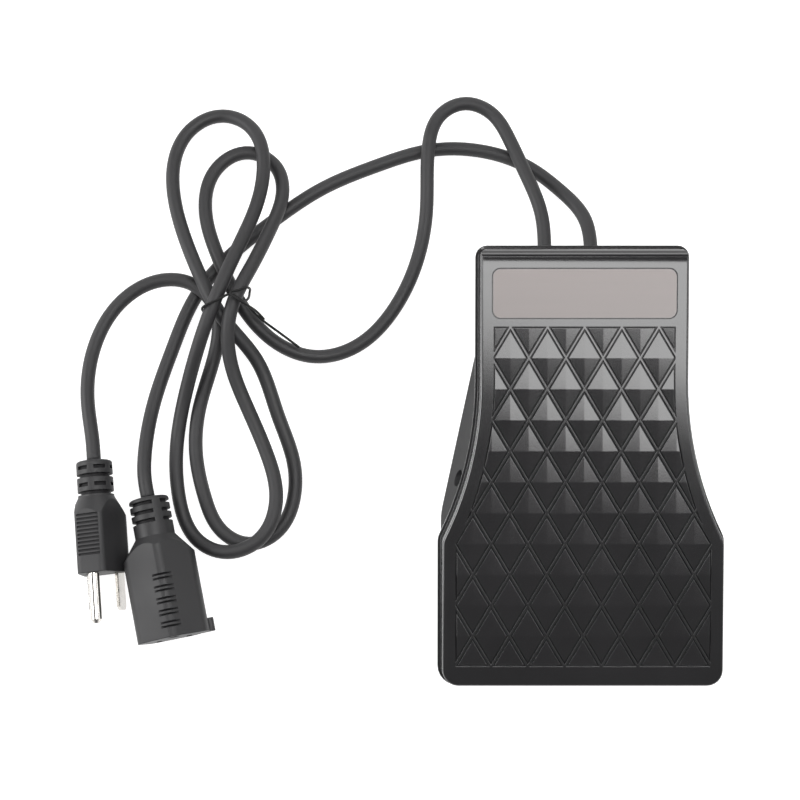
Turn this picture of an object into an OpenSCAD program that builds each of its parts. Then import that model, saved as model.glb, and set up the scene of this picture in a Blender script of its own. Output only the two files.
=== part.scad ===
// Foot pedal for a flexible shaft machine: a tilting plate on a sloped tray, with a sprung hinge,
// a toothed sector that turns a speed potentiometer, and two mains leads that end in a plug and a socket.
// Millimetres. The origin lies on the floor under the middle of the pedal. X runs to the right,
// Y from the wide front end to the narrow rear end, Z up.

/* [Pedal plate] */
// Length of the plate along its sloping top
plate_len = 178; // [160:1:200]
// Width across the wide front end
front_w = 114.6; // [106:0.2:126]
// Width across the narrow rear end
rear_w = 84; // [78:0.5:92]
// Radius of the hollow waist on each side
waist_r = 144; // [120:1:180]
// Distance from the middle of the plate back to where the waist starts
waist_start = 35; // [25:1:45]
// Radius that blends the waist into the front sides
shoulder_r = 6; // [3:0.5:12]
// Corner radius at the front
front_corner_r = 6.5; // [4:0.5:10]
// Corner radius at the rear
rear_corner_r = 3; // [2.9:0.1:6]
// Thickness of the top
top_t = 3; // [2.4:0.1:3.6]
// Thickness of the skirt wall
skirt_t = 2.4; // [1.8:0.1:2.8]
// Depth of the skirt under the top
skirt_h = 12; // [9:0.5:13]
// Outward draft of the skirt from its top to its lower edge
skirt_draft = 0.6; // [0.2:0.1:0.9]
// Height of the bead along the lower edge of the skirt
bead_h = 1.2; // [0.8:0.1:2]
// Width that the bead stands out
bead_w = 1.2; // [0.4:0.1:1.6]
// Radius of the top edge
edge_r = 1; // [0.6:0.1:2.2]
// Radius of the rolled rear edge
rear_edge_r = 4; // [2.4:0.2:5]

/* [Tread] */
// Width of one diamond, from rib to rib
cell_w = 15; // [12:0.5:20]
// Length of one diamond, from rib to rib
cell_l = 25.2; // [20:0.2:32]
// Width of the flat ribs between the diamonds
rib_w = 0.9; // [0.5:0.1:2]
// Width of the groove round each diamond
groove_w = 0.5; // [0.3:0.05:0.8]
// Depth of the groove under the ribs
groove_t = 0.6; // [0.4:0.05:0.9]
// Rise of each diamond from its edge to its peak
cell_rise = 0.6; // [0.4:0.05:1.4]
// Depth of the edges of the diamonds under the ribs
cell_drop = 0.15; // [0:0.05:0.3]
// Plain border along the sides of the tread
tread_border = 5.3; // [4:0.1:9]
// Plain length between the rear edge and the tread
tread_rear = 31.4; // [28:0.2:40]
// Plain length between the front edge and the tread
tread_front = 8.2; // [6:0.2:14]

/* [Label] */
// Width of the label plate
label_w = 74; // [60:0.5:76]
// Length of the label plate
label_l = 19.6; // [12:0.2:21]
// Corner radius of the label plate
label_r = 3; // [1:0.5:5]
// Thickness of the label plate
label_t = 0.5; // [0.3:0.1:0.8]
// Distance from the rear edge to the middle of the label
label_rear = 17.9; // [15.6:0.1:19]

/* [Hinge and travel] */
// Height of the hinge over the floor
hinge_z = 14; // [12.5:0.5:16]
// Height of the top over the hinge, at the hinge
hinge_drop = 28; // [26.5:0.5:32]
// Tilt of the plate at rest
tilt = 13; // [11:0.5:14]
// Travel of the plate from rest to full speed
press_angle = 10; // [6:0.5:11]
// Diameter of the hinge pin
pin_d = 4; // [3:0.5:5]
// Thickness of the hinge ears under the plate
ear_t = 4.5; // [3:0.5:6]
// Diameter of the recess round each pin end
recess_d = 7; // [6.5:0.5:9]

/* [Base tray] */
// Slope of the tray walls from upright
wall_slope = 20; // [18:0.5:22]
// Taper of the tray sides in plan
side_taper = 12.4; // [12:0.1:14]
// Thickness of the tray walls
tray_wall = 2.4; // [2:0.1:2.8]
// Thickness of the tray floor
tray_floor = 2.5; // [2:0.1:3.5]
// Distance from the hinge forward to where the sides start to taper
tray_shoulder = 10.5; // [8:0.5:18]
// Radius of the tray corners at the bottom
tray_corner_r = 16; // [15.5:0.5:20]
// Height of the rubber feet
foot_h = 3; // [2:0.5:5]
// Diameter of the rubber feet
foot_d = 14; // [11:0.5:16]

/* [Springs and stops] */
// Outer diameter of the return springs
spring_d = 13; // [10:0.5:14]
// Wire diameter of the return springs
spring_wire = 1.6; // [1:0.1:2]
// Number of coils
spring_turns = 7; // [5:1:9]
// Distance of the springs from the centre line
spring_x = 20; // [18:0.5:22]
// Distance of the springs behind the hinge
spring_back = 26; // [22:0.5:28]
// Diameter of the rubber stops
stop_d = 8; // [6:0.5:9]
// Thickness of the rubber stops
stop_t = 3.6; // [2:0.2:5]

/* [Speed drive] */
// Module of the teeth
gear_module = 1; // [0.9:0.05:1.05]
// Teeth on the pinion
pinion_teeth = 12; // [11:1:13]
// Teeth on a full circle of the sector
sector_teeth = 84; // [80:1:88]
// Width of the teeth
gear_w = 5; // [3.5:0.5:5.5]
// Direction from the hinge to the pinion, up from level
mesh_angle = 9; // [7:0.5:11]
// Diameter of the potentiometer
pot_d = 16.5; // [14:0.5:18]
// Length of the potentiometer
pot_l = 8.8; // [6:0.2:12]
// Diameter of the potentiometer shaft
pot_shaft_d = 6; // [5:0.5:6]

/* [Circuit board] */
// Width of the circuit board
board_w = 72; // [64:1:76]
// Length of the circuit board
board_l = 56; // [50:1:58]
// Thickness of the circuit board
board_t = 1.6; // [1:0.2:2]
// Height of the board posts over the tray floor
board_lift = 3.5; // [2.5:0.5:5]

/* [Cords] */
// Diameter of both leads
cord_d = 6; // [5.4:0.1:6.2]
// Sideways place of the plug lead where it leaves the tray
plug_exit_x = -12; // [-14:0.5:-11]
// Sideways place of the socket lead where it leaves the tray
socket_exit_x = 8; // [7:0.5:10]
// Height of both leads where they leave the tray
exit_z = 11; // [10:0.5:12]
// Length of the sleeve outside the tray
sleeve_l = 20; // [14:1:22]
// Diameter of the wire of the cord tie
tie_d = 0.9; // [0.6:0.1:1.2]

/* [Plug and socket] */
// Length of the grooved neck of the plug
plug_neck_l = 14.6; // [13:0.2:20]
// Radius of the neck of the plug
plug_neck_r = 7.6; // [6.8:0.1:8.2]
// Length of the plug body
plug_l = 33; // [28:0.5:40]
// Length of the grooved neck of the socket
socket_neck_l = 16; // [13:0.2:20]
// Radius of the neck of the socket
socket_neck_r = 8.4; // [7.4:0.1:9]
// Length of the socket body
socket_l = 43.5; // [38:0.5:50]
// Distance between the flat blades
blade_pitch = 12.7; // [12:0.1:13.5]
// Distance from the blades to the round ground pin
ground_pitch = 11.9; // [11:0.1:12.5]
// Width of the flat blades
blade_w = 6.35; // [5:0.05:7]
// Thickness of the flat blades
blade_t = 1.5; // [1.2:0.1:2]
// Length that the blades stand out
blade_l = 15.9; // [12:0.1:18]
// Diameter of the round ground pin
ground_d = 4.76; // [4:0.02:5]
// Length that the ground pin stands out
ground_l = 21; // [16:0.5:24]

/* [Hidden] */
$fn = 48;

// Clearances: running fit of a shaft, slip fit of a fixed piece, seat of a rubber stop, free space
run_gap = 0.05;
slip_gap = 0.03;
seat_gap = 0.3;
free_gap = 0.6;
// Overlap of the shapes that make up one piece
bite = 0.4;

// Place of the tilted plate: its top middle stands over the hinge
bead_out = skirt_draft + bead_w;
hinge_y = -(skirt_h * sin(tilt) + bead_out * cos(tilt) + edge_r * (cos(tilt) + sin(tilt) - 1)) / 2;
top_z = hinge_z + hinge_drop;
under_d = hinge_drop * cos(tilt) - top_t;
pressed_tilt = tilt - press_angle;

// The label lies a little under the top, with an open joint round it
label_sunk = 0.1;
label_gap = 0.4;

// Half widths and the sweep of the waist, which meets the shoulder blend in one tangent
front_half = front_w / 2;
rear_half = rear_w / 2;
waist_sweep = acos(1 - (front_half - rear_half) / (waist_r + shoulder_r));
shoulder_y = waist_start - (waist_r + shoulder_r) * sin(waist_sweep);

// Tray: its bottom outline follows the lower edge of the skirt at the front and the rear
rim_gap = 2.2;
skirt_gap = 0.8;
rear_inset = 8;
side_inset = 0.1;
tray_z = foot_h;
floor_z = tray_z + tray_floor;
tray_front_y = plate_y(-plate_len / 2 + skirt_t, -skirt_h) + skirt_gap
    - (plate_z(-plate_len / 2, -skirt_h) - tray_z) * tan(wall_slope);
tray_rear_y = plate_y(plate_len / 2, -skirt_h) - rear_inset;
tray_front_half = front_half - side_inset;
tray_shoulder_r = 30;
tray_shoulder_y = hinge_y - tray_shoulder - tray_shoulder_r * sin(side_taper);
tray_side = (tray_front_half - tray_shoulder_r + tray_shoulder_r * cos(side_taper)) * cos(side_taper)
    + (tray_shoulder_y + tray_shoulder_r * sin(side_taper)) * sin(side_taper);
rim_z = hinge_z + under_d - rim_gap;
wall_run = tray_wall / cos(wall_slope);
tray_rear_corner_x = (tray_side - tray_corner_r - (tray_rear_y - tray_corner_r) * sin(side_taper))
    / cos(side_taper);

// Hinge pieces stand inside the rim, clear of the tapering walls when the ears swing back
ear_wall = 3.5;
ear_r = pin_d / 2 + ear_wall;
ear_gap = 0.8;
ear_out = tray_inside(hinge_y + ear_r + under_d * sin(press_angle), rim_z) - ear_gap;
boss_wall = 3;
boss_r = pin_d / 2 + boss_wall;
boss_in = ear_out + free_gap;
pin_sunk = 2.4;
pin_end = tray_outside(hinge_y, hinge_z) - pin_sunk;
recess_t = 2;
recess_floor = pin_end - recess_t;
clip_t = 0.8;
clip_gap = 0.25;
clip_r = recess_d / 2 - clip_gap;
clip_groove = 0.4;
clip_slot_w = 1;

// Fasteners
screw_d = 2.9;
screw_hole_d = screw_d + 2 * slip_gap;
screw_pass_gap = 0.25;
screw_pass_d = screw_d + 2 * screw_pass_gap;
screw_head_d = 5.4;
screw_head_h = 2;
screw_cross = [3, 0.7, 0.9];
post_wall = 2.2;
post_r = screw_d / 2 + post_wall;

// Feet and stops: the front feet lie under the posts of the rest stops
stop_rim = 0.6;
stop_post_r = stop_d / 2 + stop_rim;
front_post_in = [15.5, 17];
front_post = [tray_front_half - front_post_in[0], tray_front_y + front_post_in[1]];
rear_foot_in = [18.5, 22];
rear_foot = [tray_half(tray_rear_y - rear_foot_in[1]) - rear_foot_in[0], tray_rear_y - rear_foot_in[1]];
foot_boss_h = 3.5;
foot_roof = 1;
foot_sink_z = tray_z / 2;
foot_head_z = 0.4;
foot_screw_l = tray_z - foot_sink_z + tray_floor + foot_boss_h - foot_roof;
foot_edge = [1.5, 0.6];
foot_draft = 0.9;
rest_stop_w = -top_t - seat_gap - stop_t;

// Stiffening ribs under the front half of the plate
stiffener_v = [-64, -39];
stiffener_w = 64;
stiffener_h = 2.2;
stiffener_t = 1.6;

// Springs
spring_y = hinge_y + spring_back;
spring_pad_rim = 1.5;
spring_pad_r = spring_d / 2 + spring_pad_rim;
spring_pad_t = 0.6;
spring_pad_z = under_rest(spring_y - spring_pad_r) - spring_pad_t;
spring_stud_l = 6;
spring_stud_gap = 0.5;
spring_cup_h = 5;
spring_cup_wall = 1.7;
spring_gap = 0.3;

// Gear mesh
pressure_angle = 20;
backlash = 0.3;
sector_r = gear_module * sector_teeth / 2;
pinion_r = gear_module * pinion_teeth / 2;
sector_add = 0.7 * gear_module;
pinion_add = 0.9 * gear_module;
tip_gap = 0.35 * gear_module;
pinion_y = hinge_y + (sector_r + pinion_r) * cos(mesh_angle);
pinion_z = hinge_z + (sector_r + pinion_r) * sin(mesh_angle);
sector_band = 6 * gear_module;
sector_pad_t = 3;
sector_boss_h = 4;
sector_boss_r = 3.3;
sector_pad_w = -top_t - sector_boss_h - sector_pad_t;
sector_run = 6;
sector_pad_l = 14;
sector_pad_half = 10;
sector_pad_v = sqrt(pow(sector_r - sector_band / 2, 2) - pow(hinge_drop * cos(tilt) + sector_pad_w, 2))
    - hinge_drop * sin(tilt);
sector_screw_x = 6.6;
sector_screw_l = sector_boss_h + 1;

// Potentiometer: it hangs on a bracket beside the pinion, with its threaded neck towards the teeth
bracket_t = 1.2;
bracket_gap = 2.6;
bracket_x = gear_w / 2 + bracket_gap;
neck_wall = 0.8;
neck_gap = 0.5;
neck_r = pot_shaft_d / 2 + neck_wall;
nut_t = 1.8;
nut_wall = 2.2;
bracket_lift = 4;
bracket_foot_z = floor_z + bracket_lift;
bracket_rim = 0.4;
bracket_half = pot_d / 2 + bracket_rim;
bracket_foot_l = 13;
bracket_screw_in = [3.4, 2.8];
bracket_screw = [bracket_x + bracket_foot_l - bracket_screw_in[0], bracket_half - bracket_screw_in[1]];
bracket_window = [4, 13];
pot_terminal = [1.4, 6, 0.8];
pot_terminal_pitch = 4;
pot_shaft_tail = 4;
pot_shaft_nose = 1;
pot_slot = [1, 0.8];

// Posts of the press stops stand beside the bracket
press_back = 43;
press_post = [bracket_x + bracket_foot_l + stop_post_r + free_gap, hinge_y + press_back];
press_stop_z = under_pressed(press_post[1] - stop_d / 2) - seat_gap - stop_t;

// Circuit board: it lies in front of the hinge, with its front holes clear of the rest stops
board_gap = 5;
board_rear_y = hinge_y - boss_r - board_gap;
board_y = board_rear_y - board_l / 2;
board_z = floor_z + board_lift;
board_r = 2;
parts_z = board_z + board_t;
board_hole_in = [4, 8, 4];
board_hole_x = board_w / 2 - board_hole_in[0];
board_hole_y = [board_y - board_l / 2 + board_hole_in[1], board_rear_y - board_hole_in[2]];

// Parts on the board: heat sink with its triac, capacitor, choke, fuse in its clips, terminal block
sink_w = 26;
sink_l = 9;
sink_h = 15;
sink_back_t = 2.4;
sink_fin_t = 1.4;
sink_fins = 6;
sink_x = -10;
sink_rear = 16;
sink_at = [sink_x, board_rear_y - sink_rear];
triac_w = 10;
triac_t = 4.4;
triac_h = 9;
triac_lift = 3;
triac_tab_t = 1.3;
triac_tab_h = 14;
triac_hole_d = 3.4;
triac_hole_in = 2.6;
triac_lead = [0.8, 0.6];
triac_lead_y = 2;
triac_lead_pitch = 2.54;
capacitor_size = [18, 8.5, 11];
capacitor_r = 1.5;
coil_row_y = board_y - board_l / 8;
capacitor_at = [-18, coil_row_y];
choke_r = 6.6;
choke_wire_r = 3.6;
choke_at = [16, coil_row_y];
fuse_r = 2.6;
fuse_l = 20;
fuse_cap_l = 5;
fuse_cap_t = 0.3;
fuse_lift = 1.2;
fuse_front = 8;
fuse_at = [0, board_y - board_l / 2 + fuse_front];
fuse_clip_l = 4;
fuse_clip_t = 0.8;
fuse_clip_lip = 0.6;
block_ways = 4;
block_way = 5;
block_l = 8;
block_h = 10;
block_rear = 9;
block_at = [16, board_rear_y - block_rear];
block_screw = [3.4, 5];
block_mouth = [3.2, 3, 3];

// Cords: entry through flat bosses in the rear wall, clamp bar behind them
cord_r = cord_d / 2;
cord_sides = 10;
inlet_wall = 4.6;
inlet_r = cord_r + inlet_wall;
inlet_lip = 0.1;
sleeve_wall = 1.4;
sleeve_neck_r = cord_r + sleeve_wall;
sleeve_inset = 0.8;
sleeve_flange_r = inlet_r - sleeve_inset;
sleeve_flange_t = 1.8;
sleeve_bead = 1;
sleeve_bead_r = sleeve_neck_r + sleeve_bead;
sleeve_rings = 4;
sleeve_ring = [1.2, 0.6, 0.68];
sleeve_taper = 1.7;
inlet_y = tray_rear_y - (exit_z - sleeve_flange_r - tray_z) * tan(wall_slope) + inlet_lip;
inlet_in_y = tray_rear_y - (exit_z + sleeve_bead_r - tray_z) * tan(wall_slope) - wall_run - inlet_lip;
clamp_l = 6;
clamp_t = 5;
clamp_gap = 0.4;
clamp_y = inlet_in_y - sleeve_flange_t - clamp_gap - clamp_l / 2;
clamp_screw_gap = 5.5;
clamp_screw_x = [plug_exit_x - cord_r - clamp_screw_gap, socket_exit_x + cord_r + clamp_screw_gap];
clamp_from = clamp_screw_x[0] - post_r;
clamp_w = clamp_screw_x[1] - clamp_screw_x[0] + 2 * post_r;
clamp_half_gap = 0.6;
clamp_bottom = exit_z + clamp_half_gap;
cord_tail = 4;
cord_in_y = clamp_y - clamp_l / 2 - cord_tail;
saddle_gap = 0.1;

// Plug and socket lie on the floor beside each other: place of the cord end, turn in plan, roll
plug_at = [-204.4, 5.2];
plug_turn = 5.4;
plug_roll = 15;
socket_at = [-180.8, -10.8];
socket_turn = 11.8;
socket_roll = -6;
rest_gap = 0.1;

// Section of the plug: a flat panel over the ground pin, wide at the blades
plug_low = [7, -5.8];
plug_low_r = 3.2;
plug_high = [4, 8];
plug_high_r = 2.6;
plug_flare_l = 11;
plug_flare_r = 13;
plug_face = plug_neck_l + plug_l;
plug_z = plug_low_r + plug_low[0] * sin(plug_roll) - plug_low[1] * cos(plug_roll) + rest_gap;
plug_ridges = 11;
plug_ridge = [9.6, 0.5, 0.8];
plug_ridge_pitch = 1.65;
plug_ridge_from = 8.4;
plug_ground_y = 7.4;
blade_y = plug_ground_y - ground_pitch;
pin_depth = 8;
pin_root_r = ground_d / 2 - 0.6;
pin_root_l = 0.4;
pin_tip = [1.1, 1.6];
blade_tip = 1.4;

// Section of the socket: two slopes that meet in a ridge over the ground opening
socket_low = [6.5, -6];
socket_side = [10, 1];
socket_corner_r = 5;
socket_ridge = 7;
socket_ridge_r = 4.5;
socket_flare_l = 11;
socket_flare_r = 16.4;
socket_face = socket_neck_l + socket_l;
socket_z = socket_corner_r + rest_gap
    + socket_low[0] * abs(sin(socket_roll)) - socket_low[1] * cos(socket_roll);
socket_slots = 5;
socket_slot = [8, 0.7, 0.7];
socket_slot_pitch = 5;
socket_slot_step = 1.7;
socket_slot_low = 1;
socket_slot_from = 17;
socket_lug = [15, 6, 5.5];
socket_lug_r = 1.5;
socket_lug_y = -4;
socket_rings = 3;
socket_bridge_w = 3.6;
socket_bridge_turn = -22;
socket_ring_from = 2.5;
socket_ring_pitch = 3.8;
socket_ground_y = 6.2;
socket_blade_y = socket_ground_y - ground_pitch;
socket_bore_gap = 0.3;
socket_bore_r = ground_d / 2 + socket_bore_gap;
socket_face_t = 6;
socket_mouth = [0.35, 0.6, 18];
socket_hole_l = ground_l + 1;
contact_t = 0.5;
contact_l = 9;

// Grooves of the moulded necks: width, depth, and the round of the cord end
neck_ring_at = 0.8;
neck_slot_at = 0.65;
neck_groove_w = 1.5;
neck_groove_t = 1.4;
neck_round = 1.2;
neck_core_l = 3;
neck_slot_w = 5;
neck_slot_turn = 49;
neck_slots = 6;

// Straight length of each lead before its plug or socket
lead_straight = 8;

// Layers of the looped cord: z is the layer times the pitch over the floor
layer_pitch = cord_d + 0.6;
layer_floor = cord_r + 0.1;

// Route of the plug lead from the sleeve to the plug: x, y, layer
plug_route = [
    [-13, 113, 1.15], [-20, 133, 1.05], [-27, 149, 0.95], [-34, 160, 0.85], [-46, 165, 0.85], [-57, 159, 0.95],
    [-62, 145, 1.1], [-63, 117, 0.5], [-68, 92, 0.15], [-78, 72, 0], [-93, 57, 0], [-112, 52, 0.1],
    [-130, 59, 0.5], [-144, 75, 1], [-154, 96, 1], [-160, 119, 0.3], [-156, 136, 0], [-143, 144, 0],
    [-130, 138, 0.2], [-126, 124, 0.75], [-130, 108, 1.55], [-138, 88, 2.6], [-146, 69, 3], [-147, 49, 2.1],
    [-140, 29, 1.2], [-131, 8, 0.95], [-127, -11, 1.05], [-133, -27, 1.1], [-148, -33, 0.7], [-162, -26, 0.1],
    [-169, -9, 0], [-170, 17, 0.1], [-165, 40, 1.1], [-157, 62, 2.85], [-149, 83, 3.05], [-141, 104, 2.2],
    [-135, 126, 1.25], [-135, 143, 1.1], [-141, 155, 0.55], [-154, 161, 0], [-167, 155, 0], [-174, 141, 0.1],
    [-174, 125, 0.35], [-169, 106, 1.05], [-160, 84, 1.95], [-150, 66, 1.9], [-136, 49, 1], [-127, 26, 0.3],
    [-120, 5, 0], [-120, -10, 0], [-126, -23, 0], [-139, -29, 0], [-151, -23, 0], [-158, -9, 0],
    [-162, 9, 0], [-161, 29, 0.1], [-154, 54, 0.6], [-154, 71, 0.9], [-165, 83, 0.95], [-182, 84, 0.65],
    [-198, 73, 0.4], [-207, 54, 0.45], [-208, 30, 0.9]
];

// Route of the socket lead from the sleeve to the socket: x, y, layer
socket_route = [
    [6, 112, 0.85], [-4, 126, 0.25], [-19, 138, 0], [-40, 145, 0], [-62, 145, 0], [-85, 138, 0],
    [-108, 128, 0], [-130, 113, 0], [-149, 97, 0], [-164, 78, 0], [-173, 56, 0], [-180, 33, 0.25],
    [-183, 10, 0.95]
];

// Route of the tie, from the tip of one tail round the bundle to the tip of the other: x, y, height
tie_route = [
    [-118, 55, 8.6], [-127, 61.5, 10.6], [-136, 67.5, 17], [-139.5, 70.4, 23.5], [-142.5, 72.3, 27.4],
    [-146.6, 73.9, 27.7], [-150, 72.3, 27.5], [-154, 70.5, 27.2], [-157.4, 69, 26], [-158.4, 68.5, 22.6],
    [-158.2, 68.6, 15.7], [-158.5, 68.5, 8.3], [-157.4, 69, 5.4], [-154.6, 70.3, 3.9], [-149.6, 72.6, 4],
    [-144.6, 74.9, 4.6], [-141.6, 76.3, 5.5], [-140, 77, 8.9], [-139, 77.5, 16], [-138.5, 77.7, 22.6],
    [-139.4, 77.3, 25.5], [-142.4, 75.9, 27.4], [-146, 74.4, 28.7], [-143, 71.6, 29], [-139, 69.5, 26.4],
    [-136, 68.6, 20], [-133, 66.5, 13]
];

// Points of the tilted plate: v runs up the slope and w out of the top, both from the middle
function plate_y(v, w) = hinge_y + v * cos(tilt) - w * sin(tilt);
function plate_z(v, w) = top_z + v * sin(tilt) + w * cos(tilt);

// Half width of the plate along its top
function plate_half(v) = v > waist_start
    ? rear_half
    : min(front_half, rear_half + waist_r - sqrt(max(0, pow(waist_r, 2) - pow(v - waist_start, 2))));

// Height of the underside of the plate at y, at rest and pressed
function under_rest(y) = hinge_z + under_d / cos(tilt) + (y - hinge_y) * tan(tilt);
function under_pressed(y) = hinge_z + under_d / cos(pressed_tilt) + (y - hinge_y) * tan(pressed_tilt);

// Half widths of the tray along its tapered sides: at the bottom, and outside and inside at a height
function tray_half(y) = (tray_side - y * sin(side_taper)) / cos(side_taper);
function tray_outside(y, z) = tray_half(y) - (z - tray_z) * tan(wall_slope) / cos(side_taper);
function tray_inside(y, z) = tray_outside(y, z) - wall_run / cos(side_taper);

// Outline pieces are lists of x, y and the outward normal, so that a ring at any offset is one step
function arc_points(c, r, from, to, n) = [
    for (i = [0:n])
        let (a = from + (to - from) * i / n)
        [c[0] + r * cos(a), c[1] + r * sin(a), cos(a), sin(a)]
];
function hollow_points(c, r, from, to, n) = [
    for (i = [0:n])
        let (a = from + (to - from) * i / n)
        [c[0] - r * cos(a), c[1] - r * sin(a), cos(a), sin(a)]
];
function mirrored(half) = concat(half, [
    for (i = [len(half) - 1:-1:0]) [-half[i][0], half[i][1], -half[i][2], half[i][3]]
]);
function ring(outline, d, z) = [for (p = outline) [p[0] + d * p[2], p[1] + d * p[3], z]];
function flat_ring(outline, d) = [for (p = outline) [p[0] + d * p[2], p[1] + d * p[3]]];

// Places of the diamonds, in rows from the rear, each row half a diamond further along
tread_rows = floor((plate_len - tread_rear - tread_front) / (cell_l / 2) + 0.5);
tread_top = plate_len / 2 - tread_rear;
cell_places = [
    for (j = [-1:tread_rows], k = [-ceil(front_w / cell_w / 2):ceil(front_w / cell_w / 2)])
        let (x = (k + (j % 2 == 0 ? 0 : 0.5)) * cell_w, y = tread_top - (j + 1) * cell_l / 2)
        if (abs(x) < plate_half(y) - tread_border + cell_w / 2) [x, y]
];

plate_outline = mirrored(concat(
    arc_points([front_half - front_corner_r, -plate_len / 2 + front_corner_r], front_corner_r, -90, 0, 6),
    arc_points([front_half - shoulder_r, shoulder_y], shoulder_r, 0, waist_sweep, 3),
    hollow_points([rear_half + waist_r, waist_start], waist_r, waist_sweep * 0.92, 0, 10),
    arc_points([rear_half - rear_corner_r, plate_len / 2 - rear_corner_r], rear_corner_r, 0, 90, 5)
));

tray_outline = mirrored(concat(
    arc_points([tray_front_half - tray_corner_r, tray_front_y + tray_corner_r], tray_corner_r, -90, 0, 7),
    arc_points([tray_front_half - tray_shoulder_r, tray_shoulder_y], tray_shoulder_r, 0, side_taper, 3),
    arc_points([tray_rear_corner_x, tray_rear_y - tray_corner_r], tray_corner_r, side_taper, 90, 7)
));

// Solid through a stack of rings that all have the same number of points
module loft(rings) {
    n = len(rings[0]);
    last = len(rings) - 1;
    low = len(rings) * n;
    points = concat(
        [for (r = rings, p = r) p],
        [[0, 0, rings[0][0][2]], [0, 0, rings[last][0][2]]]
    );
    sides = [
        for (k = [0:last - 1], i = [0:n - 1])
            let (a = k * n + i, b = k * n + (i + 1) % n)
            each [[a, a + n, b], [b, a + n, b + n]]
    ];
    caps = [
        for (i = [0:n - 1])
            let (j = (i + 1) % n)
            each [[low, i, j], [low + 1, last * n + j, last * n + i]]
    ];
    polyhedron(points, concat(sides, caps), convexity = 8);
}

// Round tube along a route: the cross direction is kept square to a reference direction
function unit(v) = v / norm(v);
function heading(route, i) =
    unit(unit(route[min(i + 1, len(route) - 1)] - route[min(i, len(route) - 2)])
        + unit(route[max(i, 1)] - route[max(i - 1, 0)]));
module tube(route, r, sides, reference) {
    n = len(route);
    points = [
        for (i = [0:n - 1])
            let (t = heading(route, i), s = unit(cross(t, reference)), u = cross(s, t))
            for (k = [0:sides - 1])
                let (a = 360 * (k + 0.5) / sides)
                route[i] + r * (cos(a) * s + sin(a) * u)
    ];
    walls = [
        for (i = [0:n - 2], k = [0:sides - 1])
            let (a = i * sides + k, b = i * sides + (k + 1) % sides)
            each [[a, b, a + sides], [b, b + sides, a + sides]]
    ];
    start = [for (k = [sides - 1:-1:0]) k];
    end = [for (k = [0:sides - 1]) (n - 1) * sides + k];
    polyhedron(points, concat(walls, [start, end]), convexity = 12);
}

// Frames that pieces are placed in
module on_plate() {
    translate([0, hinge_y, top_z])
        rotate([tilt, 0, 0])
            children();
}
module along_x(x, y, z) {
    translate([x, y, z])
        rotate([90, 0, 90])
            children();
}
module along_y(x, y, z) {
    translate([x, y, z])
        rotate([-90, 0, 0])
            children();
}
module both_sides() {
    children();
    mirror([1, 0, 0])
        children();
}
module on_plug() {
    translate([plug_at[0], plug_at[1], plug_z])
        rotate([0, 0, plug_turn])
            rotate([90, 0, 0])
                rotate([0, 0, plug_roll])
                    children();
}
module on_socket() {
    translate([socket_at[0], socket_at[1], socket_z])
        rotate([0, 0, socket_turn])
            rotate([90, 0, 0])
                rotate([0, 0, socket_roll])
                    children();
}

// Flat shape with round corners
module rounded_rectangle(w, l, r) {
    square([w - 2 * r, l], center = true);
    square([w, l - 2 * r], center = true);
    for (x = [-1, 1], y = [-1, 1])
        translate([x * (w / 2 - r), y * (l / 2 - r)])
            circle(r);
}

// Pan head screw that points up or down, with its head seat at the origin
module screw(length, up = false) {
    rotate([up ? 180 : 0, 0, 0]) {
        difference() {
            cylinder(d = screw_head_d, h = screw_head_h);
            for (turn = [0, 90])
                rotate([0, 0, turn])
                    translate([-screw_cross[0] / 2, -screw_cross[1] / 2, screw_head_h - screw_cross[2]])
                        cube([screw_cross[0], screw_cross[1], 2 * screw_cross[2]]);
        }
        translate([0, 0, -length])
            cylinder(d = screw_d, h = length + bite);
    }
}

// Involute tooth, centred on angle 0, as a list of points from one root to the other
function involute(a) = tan(a) * 180 / PI - a;
function tooth_half(z, r) =
    90 / z - backlash / 4 / (gear_module * z / 2) * 180 / PI
        + involute(pressure_angle) - involute(acos(min(1, gear_module * z / 2 * cos(pressure_angle) / r)));
function tooth_points(z, root, tip, turn) =
    let (start = max(root, gear_module * z / 2 * cos(pressure_angle)), n = 5)
    let (flank = [
        for (i = [0:n])
            let (r = start + (tip - start) * i / n)
            [r, tooth_half(z, r)]
    ])
    let (side = concat([[root, flank[0][1]]], flank))
    [
        for (k = [0:2 * len(side) - 1])
            let (q = k < len(side) ? side[k] : side[2 * len(side) - 1 - k])
            let (a = turn + (k < len(side) ? -q[1] : q[1]))
            [q[0] * cos(a), q[0] * sin(a)]
    ];

// Base tray: outside, hollow, and what stands in it
module tray_block() {
    rise = rim_z - tray_z;
    intersection() {
        loft([
            ring(tray_outline, 0, tray_z),
            ring(tray_outline, -rise * tan(wall_slope), rim_z)
        ]);
        along_x(-front_w, 0, 0)
            linear_extrude(2 * front_w)
                polygon([
                    [tray_front_y - 1, 0],
                    [tray_rear_y + 1, 0],
                    [tray_rear_y + 1, rim_z + (tray_rear_y + 1 - hinge_y) * min(0, tan(pressed_tilt))],
                    [hinge_y, rim_z],
                    [tray_front_y - 1, rim_z + (tray_front_y - 1 - hinge_y) * tan(tilt)]
                ]);
    }
}
module tray_hollow() {
    rise = rim_z + 1 - tray_z;
    loft([
        ring(tray_outline, -wall_run - tray_floor * tan(wall_slope), floor_z),
        ring(tray_outline, -wall_run - rise * tan(wall_slope), rim_z + 1)
    ]);
}
module cord_holes(r, from, length) {
    for (x = [plug_exit_x, socket_exit_x])
        along_y(x, from, exit_z)
            cylinder(r = r, h = length);
}
module foot_holes() {
    both_sides()
        for (post = [front_post, rear_foot])
            translate([post[0], post[1], foot_sink_z])
                cylinder(d = screw_hole_d, h = foot_screw_l);
}
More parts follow.
